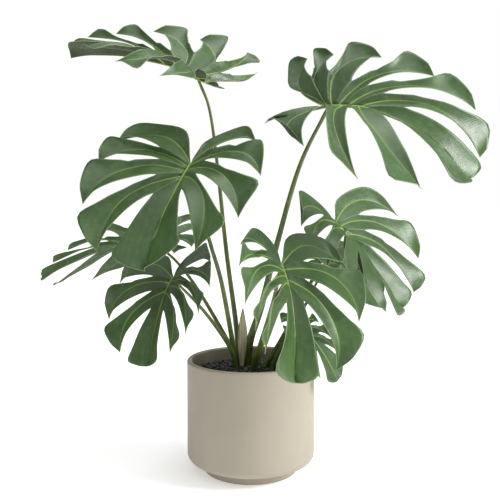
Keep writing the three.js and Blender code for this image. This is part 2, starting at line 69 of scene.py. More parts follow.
# The same leaves as the CAD model: bearings in degrees and reaches in millimetres from the joint.
# Many values of the seven leaves in plain view were found by a fitting script, rounded and copied
# in here, and others were chosen by hand: report.md says which. Only the pleats are not in CAD.
LEAVES = {
    "top_left": dict(
        base=(-86, 17, 670), heading=181, pitch=29, roll=-5, length=230, arch=38,
        fold=(20, 36), curl=(115, 5),
        fork=0.34, spread=(1.6, 1.3), pleat=10, stalk_foot=(-20, 34), radius=(5.6, 2.2),
        route=((-27, 28, 255), (-43, 25, 379), (-58, 21, 527), (-71, 19, 621)),
        left=dict(basal=(165, 32, 150, 50), lobes=(
            (125, 60, 0.35, 9, 0.14), (100, 90, 0.35, 20, 0.14), (70, 138, 0.35, 34, 0.14),
            (44, 176, 0.33, 34, 0.12), (22, 208, 0.33, 28, 0.08))),
        right=dict(basal=(140, 35, 128, 88), lobes=(
            (114, 145, 0.31, 18, 0.12), (99, 172, 0.4, 34, 0.14), (72, 135, 0.46, 22, 0.14),
            (43, 152, 0.36, 26, 0.12), (26, 185, 0.29, 20, 0.12), (18, 220, 0.27, 24, 0.06)))),
    "top_right": dict(
        base=(120, -74, 613), heading=333, pitch=2, roll=32, length=265, arch=73,
        fold=(13, 19), curl=(0, 47),
        fork=0.25, spread=(2.3, 1.4), pleat=10, stalk_foot=(-6, 25), radius=(8, 2.6),
        route=((-1, 17, 221), (19, 5, 285), (46, -17, 398), (81, -41, 523)),
        left=dict(basal=(135, 109, 119, 205), lobes=(
            (112, 183, 0.52, 14, 0.16), (98, 155, 0.58, 21, 0.24), (67, 144, 0.39, 29, 0.25),
            (44, 190, 0.29, 15, 0.16), (31, 251, 0.23, 23, 0.16), (14, 272, 0.26, 23, 0.04))),
        right=dict(basal=(150, 90, 168, 96), lobes=(
            (84, 162, 0.22, 44, -0.05), (63, 228, 0.21, 39, 0), (41, 244, 0.22, 64, 0.01)))),
    "front_left": dict(
        base=(-92, -119, 520), heading=242, pitch=-38, roll=-12, length=192, arch=39,
        fold=(27, 7), curl=(44, 13),
        fork=0.19, spread=(1.8, 1.5), pleat=10, stalk_foot=(-25, 16), radius=(5.4, 2.3),
        route=((-47, -34, 319), (-64, -60, 388), (-82, -86, 457)),
        left=dict(basal=(180, 48, 150, 105), lobes=(
            (113, 107, 0.37, 12, 0.07), (78, 137, 0.27, 17, 0.08), (52, 163, 0.28, 17, -0.02),
            (28, 174, 0.28, 18, -0.13))),
        right=dict(basal=(147, 89, 121, 150), lobes=(
            (99, 147, 0.41, 4, 0.14), (77, 149, 0.3, 7, 0.1), (49, 174, 0.25, 20, 0.09),
            (24, 196, 0.29, 29, -0.03)))),
    "low_left": dict(
        base=(-127, -55, 339), heading=249, pitch=-35, roll=-5, length=158, arch=50,
        fold=(37, -1), curl=(13, 28),
        fork=0.27, spread=(1.9, 1.7), pleat=7, stalk_foot=(-26, 3), radius=(5, 2),
        route=((-37, -6, 215), (-81, -30, 282)),
        left=dict(basal=(184, 51, 150, 78), lobes=(
            (86, 92, 0.37, 10, 0.1), (66, 126, 0.29, 11, 0.11), (52, 135, 0.34, 3, 0.02),
            (39, 138, 0.27, 5, 0), (24, 145, 0.33, 25, 0))),
        right=dict(basal=(147, 69, 119, 118), lobes=(
            (84, 102, 0.32, 12, 0.15), (45, 128, 0.23, 14, 0.13), (20, 153, 0.24, 22, 0.05)))),
    "back_left": dict(
        base=(-190, 145, 392), heading=185, pitch=-8, roll=-10, length=224, arch=24,
        fold=(-3, 12), curl=(10, 20),
        fork=0.3, spread=(1.2, 1.2), pleat=7, stalk_foot=(-27, 49), radius=(5, 2.2),
        route=((-42, 64, 210), (-98, 105, 298), (-143, 130, 352)),
        left=dict(basal=(172, 58, 162, 90), lobes=(
            (138, 100, 0.4, 20, 0.15), (112, 108, 0.32, 30, 0.12), (84, 116, 0.28, 34, 0.1),
            (52, 178, 0.24, 58, 0.08), (25, 208, 0.24, 60, 0.04))),
        right=dict(basal=(172, 66, 162, 105), lobes=(
            (140, 117, 0.4, 18, 0.15), (112, 148, 0.33, 30, 0.12), (78, 169, 0.3, 54, 0.1),
            (48, 188, 0.26, 46, 0.08), (28, 200, 0.24, 30, 0.08), (15, 212, 0.24, 32, 0.04)))),
    "front_right": dict(
        base=(45, -163, 370), heading=288, pitch=-37, roll=-8, length=184, arch=54,
        fold=(8, 33), curl=(21, 14),
        fork=0.24, spread=(1.9, 1.5), pleat=10, stalk_foot=(4, -12), radius=(7.2, 2.2),
        route=((17, -47, 226), (34, -102, 300)),
        left=dict(basal=(153, 67, 132, 130), lobes=(
            (89, 110, 0.29, 12, 0.16), (47, 142, 0.21, 16, 0.11), (21, 178, 0.22, 32, -0.05))),
        right=dict(basal=(158, 42, 116, 66), lobes=(
            (80, 100, 0.42, 9, 0.13), (65, 126, 0.44, 8, 0.2), (49, 148, 0.3, 8, 0.05),
            (38, 155, 0.31, 5, 0.1), (27, 163, 0.37, 20, 0.1)))),
    "right": dict(
        base=(152, 72, 427), heading=8, pitch=-42, roll=-17, length=203, arch=24,
        fold=(67, -32), curl=(-3, 46),
        fork=0.22, spread=(1.9, 1.1), pleat=10, stalk_foot=(22, 8), radius=(6.4, 2.2),
        route=((51, 22, 214), (105, 52, 312), (128, 62, 362)),
        left=dict(basal=(112, 48, 82, 132), lobes=(
            (60, 179, 0.33, 11, 0.14), (40, 203, 0.25, 30, 0.13), (18, 203, 0.23, 18, -0.12))),
        right=dict(basal=(178, 58, 163, 97), lobes=(
            (121, 140, 0.5, 8, 0.14), (104, 158, 0.43, 12, 0.15), (83, 158, 0.34, 19, 0.15),
            (58, 180, 0.39, 19, 0.15), (29, 204, 0.5, 18, 0.12)))),
    "back_right": dict(
        base=(145, 150, 350), heading=346, pitch=-14, roll=16, length=130, arch=46,
        fold=(18, 14), curl=(40, 40),
        fork=0.3, spread=(1.6, 1.6), pleat=5, stalk_foot=(31, 28), radius=(4.8, 2),
        route=((67, 66, 214), (116, 122, 292)),
        left=dict(basal=(165, 42, 152, 78), lobes=(
            (128, 88, 0.35, 9, 0.14), (98, 100, 0.35, 10, 0.14), (68, 110, 0.35, 10, 0.12),
            (36, 120, 0.35, 11, 0.1))),
        right=dict(basal=(165, 38, 152, 62), lobes=(
            (128, 72, 0.35, 9, 0.14), (98, 98, 0.35, 10, 0.14), (68, 110, 0.35, 10, 0.12),
            (36, 120, 0.35, 11, 0.1)))),
    "low_right": dict(
        base=(86, -4, 252), heading=332, pitch=-42, roll=30, length=116, arch=34,
        fold=(-24, 26), curl=(20, 20),
        fork=0.28, spread=(1.7, 1.6), pleat=5, stalk_foot=(36, -7), radius=(4.4, 1.9),
        route=((50, -8, 210), (70, -6, 238)),
        left=dict(basal=(160, 26, 140, 40), lobes=(
            (108, 50, 0.35, 8, 0.14), (80, 66, 0.33, 10, 0.12), (54, 88, 0.33, 10, 0.1),
            (28, 104, 0.33, 12, 0.06))),
        right=dict(basal=(160, 28, 140, 42), lobes=(
            (110, 46, 0.35, 8, 0.14), (82, 56, 0.33, 9, 0.12), (54, 74, 0.33, 10, 0.1),
            (28, 100, 0.33, 12, 0.06)))),
}
SHEATH = dict(
    base=(-15.5, 7, 166), heading=292, pitch=87, roll=0, length=113, arch=0, fold=(8, 8), curl=(0, 0),
    half_widths=(3, 5, 8, 9.5, 8.5, 5.2, 1), thickness=0.7)


# ------------------------------------------------------------------ nodes for materials
class Nodes:
    """Builds one material's node tree with short calls."""

    def __init__(self, name):
        self.material = bpy.data.materials.new(name)
        self.material.use_nodes = True
        self.tree = self.material.node_tree
        self.shader = self.tree.nodes["Principled BSDF"]

    def add(self, kind, **values):
        node = self.tree.nodes.new(kind)
        for key, value in values.items():
            setattr(node, key, value)
        return node

    def link(self, source, target):
        self.tree.links.new(source, target)

    def put(self, socket, value):
        if isinstance(value, bpy.types.NodeSocket):
            self.link(value, socket)
        else:
            socket.default_value = value

    def attribute(self, name):
        return self.add("ShaderNodeAttribute", attribute_name=name).outputs["Fac"]

    def position(self):
        return self.add("ShaderNodeTexCoord").outputs["Object"]

    def math(self, operation, a, b=0.0):
        node = self.add("ShaderNodeMath", operation=operation)
        self.put(node.inputs[0], a)
        self.put(node.inputs[1], b)
        return node.outputs[0]

    def noise(self, scale, detail, vector=None):
        node = self.add("ShaderNodeTexNoise")
        self.link(vector or self.position(), node.inputs["Vector"])
        node.inputs["Scale"].default_value = scale
        node.inputs["Detail"].default_value = detail
        node.inputs["Roughness"].default_value = 0.55
        return node.outputs["Fac"]

    def remap(self, value, low, high, to_low=0.0, to_high=1.0):
        node = self.add("ShaderNodeMapRange", interpolation_type="SMOOTHSTEP")
        self.put(node.inputs[0], value)
        for index, number in ((1, low), (2, high), (3, to_low), (4, to_high)):
            self.put(node.inputs[index], number)
        return node.outputs[0]

    def mix(self, factor, a, b):
        node = self.add("ShaderNodeMix", data_type="RGBA")
        self.put(node.inputs[0], factor)
        for socket, value in ((node.inputs[6], a), (node.inputs[7], b)):
            self.put(socket, value if isinstance(value, bpy.types.NodeSocket) else (*value, 1))
        return node.outputs[2]

    def bump(self, height, strength, distance, normal=None):
        node = self.add("ShaderNodeBump")
        node.inputs["Strength"].default_value = strength
        node.inputs["Distance"].default_value = distance
        self.put(node.inputs["Height"], height)
        if normal is not None:
            self.link(normal, node.inputs["Normal"])
        return node.outputs[0]

    def finish(self, colour, roughness, normal=None, **uniform):
        self.put(self.shader.inputs["Base Color"], colour)
        self.put(self.shader.inputs["Roughness"], roughness)
        if normal is not None:
            self.link(normal, self.shader.inputs["Normal"])
        for name, value in uniform.items():
            self.shader.inputs[name.replace("_", " ")].default_value = value
        return self.material


def leaf_material(name, dark, mid, pale, vein_colour, gloss, underside=False):
    """Leaf tissue: mottled green, pale veins that fade outwards, fine side veins, painted shade in bands
    along the veins and a painted highlight along the rim.
    """
    n = Nodes(name)
    off_vein = n.attribute("off_vein")
    vein_width = n.attribute("vein_width")
    along = n.attribute("along")
    off_edge = n.attribute("off_edge")
    patches = n.noise(14, 3)
    grain = n.noise(90, 4)
    colour = n.mix(n.remap(patches, 0.35, 0.65), dark, mid)
    colour = n.mix(n.remap(grain, 0.45, 0.75, 0, 0.35), colour, pale)
    # fine side veins that leave the main vein at a slant
    phase = n.math("MULTIPLY", n.math("SUBTRACT", along, n.math("MULTIPLY", off_vein, 0.75)), 0.9)
    wobble = n.math("ADD", phase, n.math("MULTIPLY", n.noise(40, 2), 2.2))
    stripes = n.math("POWER", n.math("ABSOLUTE", n.math("SINE", wobble)), 9)
    side_fade = n.remap(off_vein, 0.5, 26, 0.34, 0.0)
    colour = n.mix(n.math("MULTIPLY", stripes, side_fade), colour, pale)
    # painted shade: soft darker bands that follow the vein, where a gently ribbed lobe would lie in shade
    rib_shade_drift = n.math("MULTIPLY", n.noise(18, 2), 9)
    rib_shade_bands = n.math("SINE", n.math("ADD", n.math("MULTIPLY", off_vein, 0.55), rib_shade_drift))
    colour = n.mix(n.remap(rib_shade_bands, -0.2, 1.0, 0.0, 0.22), colour, dark)
    # the tissue beside a vein is a little lighter
    halo = n.remap(off_vein, 0.0, 6.0, 0.28, 0.0)
    colour = n.mix(halo, colour, pale)
    vein = n.remap(n.math("DIVIDE", off_vein, vein_width), 0.45, 1.15, 1.0, 0.0)
    vein = n.math("MULTIPLY", vein, n.remap(along, 50, 170, 0.95, 0.2))
    colour = n.mix(vein, colour, vein_colour)
    # painted highlight: a thin light rim along the blade's margin
    rim = n.remap(off_edge, 0.35, 1.3, 0.55, 0.0)
    colour = n.mix(rim, colour, tuple(min(1, c * 1.5 + 0.03) for c in pale))
    rough = n.remap(grain, 0.3, 0.7, gloss, gloss + 0.12)
    rough = n.math("ADD", rough, n.math("MULTIPLY", vein, 0.1))
    ribs = n.remap(off_vein, 0.0, 3.0, 0.0, 1.0)
    height = n.math("ADD", n.math("MULTIPLY", stripes, -0.5), n.math("MULTIPLY", ribs, 1.2))
    height = n.math("ADD", height, n.math("MULTIPLY", grain, 0.5))
    normal = n.bump(height, 0.35, 0.0006)
    normal = n.bump(n.noise(22, 3), 0.25, 0.004, normal)
    return n.finish(
        colour, rough, normal, Specular_IOR_Level=0.25 if underside else 0.36, Subsurface_Weight=0.06,
        Subsurface_Radius=(0.002, 0.004, 0.001), Coat_Weight=0.0 if underside else 0.08, Coat_Roughness=0.25)


def rib_material(name, near, far):
    """Midrib and veins: yellow-green, paler and thicker near the joint."""
    n = Nodes(name)
    t = n.attribute("along")
    colour = n.mix(n.remap(t, 30, 175), near, far)
    colour = n.mix(n.remap(n.noise(120, 3), 0.4, 0.7, 0, 0.35), colour, tuple(c * 0.75 for c in near))
    return n.finish(colour, 0.42, n.bump(n.noise(200, 3), 0.3, 0.0004), Subsurface_Weight=0.05)


def stalk_material():
    """Green stalk with lengthwise fibres and pale specks, lighter at the joint under the blade."""
    n = Nodes("stalk_green")
    t = n.attribute("along")
    stripe = n.add("ShaderNodeTexNoise")
    mapping = n.add("ShaderNodeMapping")
    n.link(n.position(), mapping.inputs["Vector"])
    mapping.inputs["Scale"].default_value = (1, 1, 0.06)
    n.link(mapping.outputs[0], stripe.inputs["Vector"])
    stripe.inputs["Scale"].default_value = 260
    fibres = stripe.outputs["Fac"]
    colour = n.mix(n.remap(fibres, 0.35, 0.7), (0.05, 0.085, 0.010), (0.10, 0.15, 0.024))
    colour = n.mix(n.remap(n.noise(35, 3), 0.4, 0.7, 0, 0.5), colour, (0.13, 0.195, 0.036))
    colour = n.mix(n.remap(t, 0.93, 1.0, 0, 0.6), colour, (0.2, 0.26, 0.08))
    specks = n.remap(n.noise(420, 2), 0.63, 0.7, 0, 0.6)
    colour = n.mix(specks, colour, (0.3, 0.32, 0.17))
    return n.finish(
        colour, 0.38, n.bump(fibres, 0.35, 0.0005), Specular_IOR_Level=0.5, Subsurface_Weight=0.03)


def sheath_material():
    """Dry fibres, straw-coloured, with a dark green margin."""
    n = Nodes("sheath_dry")
    stretch = n.add("ShaderNodeMapping")
    n.link(n.position(), stretch.inputs["Vector"])
    stretch.inputs["Scale"].default_value = (1, 1, 0.05)
    fibres = n.noise(420, 3, vector=stretch.outputs[0])
    colour = n.mix(n.remap(fibres, 0.35, 0.65), (0.36, 0.32, 0.19), (0.62, 0.58, 0.42))
    colour = n.mix(n.remap(n.attribute("off_edge"), 0.4, 2.2, 0.85, 0.0), colour, (0.1, 0.12, 0.03))
    return n.finish(colour, 0.7, n.bump(fibres, 0.5, 0.0006))


def pot_material():
    """Satin clay glaze with a faint speckle and slow changes of tone."""
    n = Nodes("pot_glaze")
    slow = n.noise(5, 3)
    fine = n.noise(380, 3)
    colour = n.mix(n.remap(slow, 0.3, 0.7), (0.36, 0.318, 0.25), (0.395, 0.352, 0.28))
    colour = n.mix(n.remap(fine, 0.62, 0.72, 0, 0.22), colour, (0.4, 0.35, 0.28))
    rough = n.remap(n.noise(60, 3), 0.3, 0.7, 0.5, 0.6)
    rings = n.add("ShaderNodeTexWave", wave_type="BANDS", bands_direction="Z")
    n.link(n.position(), rings.inputs["Vector"])
    rings.inputs["Scale"].default_value = 55
    rings.inputs["Distortion"].default_value = 1.5
    normal = n.bump(rings.outputs["Fac"], 0.04, 0.0005)
    normal = n.bump(fine, 0.15, 0.0002, normal)
    return n.finish(colour, rough, normal, Specular_IOR_Level=0.4)


def pebble_material():
    n = Nodes("pebble_dark")
    tone = n.attribute("tone")
    colour = n.mix(tone, (0.007, 0.008, 0.008), (0.075, 0.078, 0.076))
    colour = n.mix(n.remap(n.noise(260, 4), 0.5, 0.75, 0, 0.5), colour, (0.1, 0.1, 0.105))
    rough = n.remap(n.noise(150, 3), 0.3, 0.7, 0.22, 0.5)
    return n.finish(colour, rough, n.bump(n.noise(700, 4), 0.4, 0.0006))


def soil_material():
    n = Nodes("soil_damp")
    colour = n.mix(n.remap(n.noise(180, 6), 0.35, 0.7), (0.014, 0.01, 0.007), (0.05, 0.036, 0.024))
    return n.finish(colour, 0.9, n.bump(n.noise(300, 6), 0.8, 0.002))


# ------------------------------------------------------------------ meshes
def make_object(name, vertices, faces, materials, attributes=None):
    """A smooth-shaded piece from millimetre vertices, riding on the plant's one body."""
    mesh = bpy.data.meshes.new(name)
    mesh.from_pydata([tuple(c * MM for c in v) for v in vertices], [], faces)
    for key, values in (attributes or {}).items():
        layer = mesh.attributes.new(key, "FLOAT", "POINT")
        layer.data.foreach_set("value", [float(v) for v in values])
    for material in materials:
        mesh.materials.append(material)
    mesh.shade_smooth()
    piece = bpy.data.objects.new(name, mesh)
    bpy.context.scene.collection.objects.link(piece)
    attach(piece, "root")
    return piece


def polar(side, bearing, reach):
    return np.array([reach * math.cos(math.radians(bearing)), side * reach * math.sin(math.radians(bearing))])


def quadratic(start, control, end, t):
    return (1 - t) ** 2 * start + 2 * t * (1 - t) * control + t * t * end


def smooth_line(points, shares):
    """A Catmull-Rom line through the points, read at shares of its length along the chords."""
    points = [np.asarray(p, float) for p in points]
    lengths = np.concatenate([[0], np.cumsum([np.linalg.norm(b - a) for a, b in zip(points, points[1:])])])
    p = [2 * points[0] - points[1], *points, 2 * points[-1] - points[-2]]
    result = []
    for share in shares:
        distance = share * lengths[-1]
        i = int(min(np.searchsorted(lengths, distance, side="right") - 1, len(points) - 2))
        t = (distance - lengths[i]) / (lengths[i + 1] - lengths[i])
        a, b, c, d = p[i:i + 4]
        result.append(0.5 * (2 * b + (c - a) * t + (2 * a - 5 * b + 4 * c - d) * t * t
                             + (3 * b - a - 3 * c + d) * t ** 3))
    return result


def axes_of(leaf):
    """The placed leaf's directions: along the midrib, across it to the left, and up off the blade."""
    turn, tilt, roll = (math.radians(leaf[key]) for key in ("heading", "pitch", "roll"))
    along = np.array([math.cos(tilt) * math.cos(turn), math.cos(tilt) * math.sin(turn), math.sin(tilt)])
    level = np.array([-math.sin(turn), math.cos(turn), 0])
    upright = np.cross(along, level)
    across = level * math.cos(roll) + upright * math.sin(roll)
    return along, across, np.cross(along, across)


def bend(leaf, axes, flat, side, height=0.0):
    """From the flat leaf to its bent and placed shape; height is measured off the blade's middle."""
    arch = (math.radians(leaf["arch"]) or 1e-6) / leaf["length"]
    angle = arch * flat[0]
    index = 0 if side > 0 else 1
    fold = math.radians(leaf["fold"][index])
    curl = (math.radians(leaf["curl"][index]) or 1e-6) / leaf["length"]
    slope = fold - curl * abs(flat[1])
    out = (math.sin(fold) - math.sin(slope)) / curl - height * math.sin(slope)
    rise = (math.cos(slope) - math.cos(fold)) / curl + height * math.cos(slope)
    along, across, up = axes
    return (np.array(leaf["base"], float) + along * (math.sin(angle) / arch + rise * math.sin(angle))
            + across * side * out + up * (-(1 - math.cos(angle)) / arch + rise * math.cos(angle)))


def slits_of(leaf, side, half, spread):
    """The lobe tips of one side, and the slit between each tip and the next."""
    tips = [polar(side, lobe[0], lobe[1]) for lobe in half["lobes"]] + [np.array([leaf["length"], 0.0])]
    slits = []
    count = len(half["lobes"])
    for k, (_, _, depth, mouth, belly) in enumerate(half["lobes"]):
        chord = tips[k + 1] - tips[k]
        length = np.linalg.norm(chord)
        direction = chord / length
        outward = np.array([direction[1], -direction[0]])
        if outward @ (tips[k] + tips[k + 1]) < 0:
            outward = -outward
        root = np.array([leaf["length"] * leaf["fork"] * ((k + 1) / count) ** spread, 0])
        middle = tips[k] + direction * mouth / 2
        axis = middle - root
        back = np.array([axis[1], -axis[0]])
        if back[0] > 0:
            back = -back
        slits.append(dict(
            root=root, control=root + axis * 0.5 + back * BLADE["bow"], middle=middle, direction=direction,
            outward=outward, mouth=mouth, depth=depth, belly=BLADE["slit_belly"] * leaf["length"],
            shoulder=tips[k] + direction * mouth + outward * belly * length))
    return tips, slits


def slit_edge(slit, share, sign):
    """A point on the slit's edge: behind the slit (sign -1) or in front of it (sign 1)."""
    t = min(1, max(0, (share - slit["depth"]) / (1 - slit["depth"])))
    width = slit["mouth"] / 2 * t + slit["belly"] * (4 * t * (1 - t)) ** 0.6
    return quadratic(slit["root"], slit["control"], slit["middle"], share) + sign * width * slit["direction"]


def lobe_edges(leaf, side, half, tips, slits, k):
    """The back and the front edge of lobe k, row by row from the midrib to the tip."""
    inner, outer = BLADE["inner_rows"], BLADE["outer_rows"]
    inner_shares = [i / inner for i in range(inner + 1)]
    outer_shares = [1 - (1 - i / outer) ** 1.25 for i in range(1, outer + 1)]
    tip = tips[k]
    if k == 0:
        b = half["basal"]
        through = [np.zeros(2), polar(side, b[0], b[1]), polar(side, b[2], b[3]), tip]
        near = 0.25  # the share of the basal lobe's back that the inner rows take up
        shares = [s * near for s in inner_shares] + [near + (1 - near) * s for s in outer_shares]
        back = smooth_line(through, shares)
    else:
        slit = slits[k - 1]
        d = slit["depth"]
        start = quadratic(slit["root"], slit["control"], slit["middle"], d)
        along = [slit_edge(slit, d + (1 - d) * t, 1) for t in (0.12, 0.4, 0.75)]
        chord = tip - slit["shoulder"]
        belly = slit["outward"] * BLADE["margin_belly"] * np.linalg.norm(chord)
        margin = slit["shoulder"] + chord * 0.5 + belly
        back = [quadratic(slit["root"], slit["control"], slit["middle"], s * d) for s in inner_shares]
        back += smooth_line([start, *along, slit["shoulder"], margin, tip], outer_shares)
    if k < len(slits):
        slit = slits[k]
        d = slit["depth"]
        front = [quadratic(slit["root"], slit["control"], slit["middle"], s * d) for s in inner_shares]
        front += [slit_edge(slit, d + (1 - d) * s, -1) for s in outer_shares]
    else:
        start = slits[-1]["root"][0]
        rows = inner + outer
        front = [np.array([start + (leaf["length"] - start) * i / rows, 0.0]) for i in range(rows + 1)]
    return back, front


def vein_line(back, front):
    """A lobe's main vein: one easy curve from the midrib through the middle of the lobe to its tip."""
    inner = BLADE["inner_rows"]
    rows = len(back) - 1
    half = inner + int(0.42 * (rows - inner))
    waist = (back[half] + front[half]) / 2
    start, tip = (back[0] + front[0]) / 2, front[-1]
    share = np.linalg.norm(waist - start) / (np.linalg.norm(waist - start) + np.linalg.norm(tip - waist))
    control = (waist - (1 - share) ** 2 * start - share ** 2 * tip) / (2 * share * (1 - share))
    lengths = np.concatenate([[0], np.cumsum([np.linalg.norm(b - a) for a, b in zip(front, front[1:])])])
    return [quadratic(start, control, tip, d / lengths[-1]) for d in lengths]


def make_leaf(name, leaf, materials, rib):
    """One blade, lobe by lobe with rows along each vein, and its raised midrib and veins."""
    axes = axes_of(leaf)
    rng = random.Random(name)
    shift = Vector((rng.uniform(0, 90), rng.uniform(0, 90), rng.uniform(0, 90)))
    vertices, faces = [], []
    values = {key: [] for key in ("off_vein", "vein_width", "along", "off_edge")}
    ribs = []
    inner = BLADE["inner_rows"]
    pleat = leaf["pleat"]

    def lift(flat, share, distance, half_width=WIDE):
        """Height of the blade off its smooth bend: a valley along every vein, and a slow wave."""
        place = Vector((flat[0] / WAVE["span"], flat[1] / WAVE["span"], 0))
        wave = noise.noise(place + shift) * WAVE["height"]
        fade = min(1, math.hypot(*flat) / WAVE["span"])
        narrow = min(1, half_width / PLEAT["full_half_width"])
        growth = 1 - math.exp(-distance / PLEAT["growth"])
        return pleat * growth * share ** PLEAT["power"] * narrow + wave * fade

    for side, key, spread in ((1, "left", leaf["spread"][0]), (-1, "right", leaf["spread"][1])):
        half = leaf[key]
        tips, slits = slits_of(leaf, side, half, spread)
        for k in range(len(slits) + 1):
            back, front = lobe_edges(leaf, side, half, tips, slits, k)
            last = k == len(slits)
            start = len(vertices)
            if last:
                signed = list(reversed(ACROSS))
            else:
                signed = [-u for u in reversed(ACROSS)] + list(ACROSS[1:])
            middle = front if last else vein_line(back, front)
            travelled = 0.0
            for row, (b, m, f) in enumerate(zip(back, middle, front)):
                if row:
                    travelled += float(np.linalg.norm(m - middle[row - 1]))
                from_root_b = float(np.linalg.norm(b - back[0]))
                from_root_f = float(np.linalg.norm(f - front[0]))
                for u in signed:
                    if last:
                        flat = m + (b - m) * u
                        edge, share, distance = b, u, from_root_b
                    else:
                        edge = b if u < 0 else f
                        share = abs(u)
                        flat = m + (edge - m) * share
                        distance = from_root_b if u < 0 else from_root_f
                    off = float(np.linalg.norm(flat - m))
                    half_width = float(np.linalg.norm(edge - m))
                    reach = half_width if row > inner + 3 else WIDE
                    vertices.append(bend(leaf, axes, flat, side, lift(flat, share, distance, reach)))
                    open_edge = row > inner or (k == 0 and u < 0)
                    values["off_vein"].append(off)
                    far = math.hypot(*m) / leaf["length"]
                    values["vein_width"].append((1.5 if last else 1.0) * (1.15 - 0.75 * min(1, far)) + 0.15)
                    values["along"].append(travelled)
                    values["off_edge"].append(half_width - off if open_edge else 9.0)
            width = len(signed)
            for row in range(len(back) - 1):
                for column in range(width - 1):
                    a = start + row * width + column
                    quad = (a, a + 1, a + 1 + width, a + width)
                    faces.append(quad if side > 0 else quad[::-1])
            ribs.append((side, middle, last))
    leaf_object = make_object("blade_" + name, vertices, faces, materials, values)
    mesh = leaf_object.data
    cleaned = bmesh.new()
    cleaned.from_mesh(mesh)
    bmesh.ops.remove_doubles(cleaned, verts=cleaned.verts, dist=0.00012)
    bmesh.ops.dissolve_degenerate(cleaned, edges=cleaned.edges, dist=0.00005)
    normal_sum = Vector((0, 0, 0))
    for face in cleaned.faces:
        normal_sum += face.normal * face.calc_area()
    if normal_sum.dot(Vector(axes[2])) < 0:
        bmesh.ops.reverse_faces(cleaned, faces=cleaned.faces)
    cleaned.to_mesh(mesh)
    cleaned.free()
    solid = leaf_object.modifiers.new("thickness", "SOLIDIFY")
    solid.thickness = BLADE["thickness"] * MM
    solid.offset = 0
    solid.material_offset = 1
    solid.material_offset_rim = 2
    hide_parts("leaf_" + name)

    tube_vertices, tube_faces, tube_along = [], [], []
    size = leaf["length"] / VEIN["usual_length"]
    steps = VEIN["midrib_steps"]
    midrib = [np.array([leaf["length"] * VEIN["midrib_share"] * i / steps, 0.0]) for i in range(steps + 1)]
    lines = [(1, midrib, VEIN["midrib"] * size, VEIN["midrib_end"])]
    for side, middle, last in ribs:
        if not last:
            lines.append((side, middle[:-4], VEIN["side"] * size, VEIN["side_end"]))
    for side, line, thick, thin in lines:
        path = [bend(leaf, axes, flat, side, lift(flat, 0, 0)) for flat in line]
        radii = [thick + (thin - thick) * (i / (len(path) - 1)) ** 0.7 for i in range(len(path))]
        distances = [math.hypot(*flat) for flat in line]
        add_tube(tube_vertices, tube_faces, path, radii, VEIN["sides"])
        tube_along += [d for d in distances for _ in range(VEIN["sides"])]
    veins = make_object("veins_" + name, tube_vertices, tube_faces, [rib], {"along": tube_along})
    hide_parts("leaf_" + name)


def add_tube(vertices, faces, path, radii, sides):
    """Adds a closed tube along the path; each ring takes its bearing from the ring before it."""
    start = len(vertices)
    path = [np.asarray(p, float) for p in path]
    reference = np.array([0.0, 0.0, 1.0])
    first = path[1] - path[0]
    if abs(first[2]) > 0.8 * np.linalg.norm(first):
        reference = np.array([0.0, 1.0, 0.0])
    for i, point in enumerate(path):
        direction = path[min(i + 1, len(path) - 1)] - path[max(i - 1, 0)]
        direction = direction / (np.linalg.norm(direction) + 1e-9)
        side = np.cross(direction, reference)
        side = side / (np.linalg.norm(side) + 1e-9)
        reference = np.cross(side, direction)
        for j in range(sides):
            angle = 2 * math.pi * j / sides
            vertices.append(point + radii[i] * (side * math.cos(angle) + reference * math.sin(angle)))
    for i in range(len(path) - 1):
        for j in range(sides):
            a = start + i * sides + j
            b = start + i * sides + (j + 1) % sides
            faces.append((a, b, b + sides, a + sides))
    faces.append(tuple(range(start + sides - 1, start - 1, -1)))
    end = start + (len(path) - 1) * sides
    faces.append(tuple(range(end, end + sides)))


def make_stalk(name, leaf, material):
    """A tapering stalk, thickest at its foot, with a slightly swollen joint under the blade."""
    along, across, up = axes_of(leaf)
    base = np.array(leaf["base"], float)
    middle = math.radians((leaf["fold"][0] - leaf["fold"][1] - 180) / 2)
    end = base + (across * math.cos(middle) + up * math.sin(middle)) * 1.2 + along * 3
    x, y = leaf["stalk_foot"]
    points = [np.array([x, y, STALK["root"]]), np.array([x, y, GRAVEL["crown"] - STALK["below_crown"]])]
    points += [np.array(p, float) for p in leaf["route"]] + [end]
    steps, sides = STALK["steps"], STALK["sides"]
    path = smooth_line(points, [i / steps for i in range(steps + 1)])
    thick, thin = leaf["radius"]
    radii = []
    for i in range(steps + 1):
        t = i / steps
        radius = thick + (thin - thick) * t ** 0.75
        radius *= 1 + STALK["swelling"] * math.exp(-((t - 0.97) / 0.025) ** 2)
        radii.append(radius)
    vertices, faces = [], []
    add_tube(vertices, faces, path, radii, sides)
    values = [i / steps for i in range(steps + 1) for _ in range(sides)]
    stalk = make_object("stem_" + name, vertices, faces, [material], {"along": values})
    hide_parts("stalk_" + name)


def make_sheath(material):
    """A shallow rippled gutter with a pointed top."""
    axes = axes_of(SHEATH)
    rows, columns = 48, 14
    widths = SHEATH["half_widths"]
    vertices, faces, off_edge = [], [], []
    for row in range(rows + 1):
        t = row / rows * (len(widths) - 1)
        i = min(int(t), len(widths) - 2)
        half = widths[i] + (widths[i + 1] - widths[i]) * (t - i)
        for column in range(columns + 1):
            u = column / columns * 2 - 1
            x = SHEATH["length"] * row / rows
            ripple = 0.35 * math.sin(9 * u + x / 19) + 0.5 * math.sin(x / 13)
            side = 1 if u >= 0 else -1
            vertices.append(bend(SHEATH, axes, np.array([x, u * half]), side, ripple))
            off_edge.append(half * (1 - abs(u)))
    for row in range(rows):
        for column in range(columns):
            a = row * (columns + 1) + column
            faces.append((a, a + 1, a + columns + 2, a + columns + 1))
    piece = make_object("dry_sheath", vertices, faces, [material], {"off_edge": off_edge})
    solid = piece.modifiers.new("thickness", "SOLIDIFY")
    solid.thickness = SHEATH["thickness"] * MM
    solid.offset = 0
    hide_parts("sheath")


